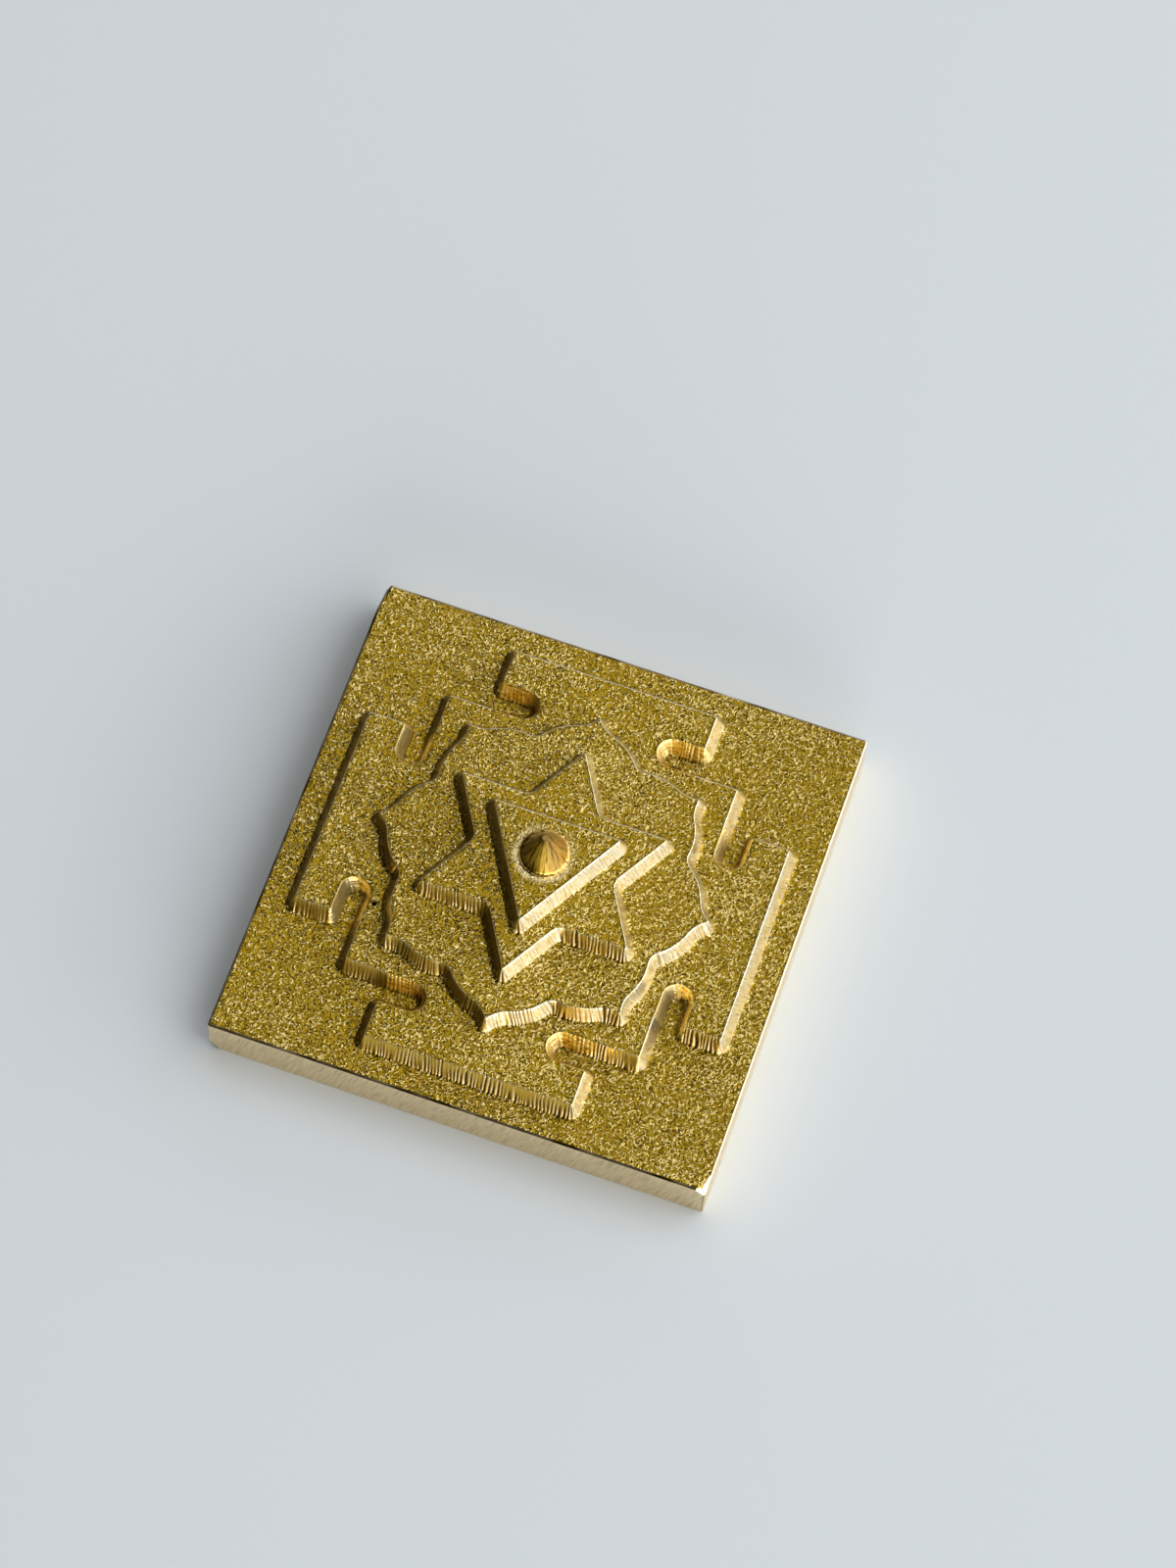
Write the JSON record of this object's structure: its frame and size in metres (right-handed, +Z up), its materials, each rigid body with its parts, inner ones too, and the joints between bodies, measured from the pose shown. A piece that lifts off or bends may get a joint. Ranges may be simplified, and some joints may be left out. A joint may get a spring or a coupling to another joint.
{
  "type": "chinnamasta yantra",
  "caption": "Small square brass relief milled in steps: gated square, lotus, hexagram, inner triangle and a raised centre point.",
  "frame": {"origin": "centre of the flat underside", "axes": "+Z up out of the relief, +Y towards the far gate, +X along the near edge to the right"},
  "size_m": [0.032, 0.032, 0.0099],
  "materials": {
    "plate_brass": "sawn and lightly blasted, edges broken by hand",
    "relief_brass": "matt grained faces with milled, finely striated walls"
  },
  "bodies": {
    "root": {"base_plate": "plate_brass", "bhupura_tier": "relief_brass", "lotus_tier": "relief_brass", "hexagram_tier": "relief_brass", "triangle_tier": "relief_brass", "bindu": "relief_brass"}
  },
  "joints": []
}
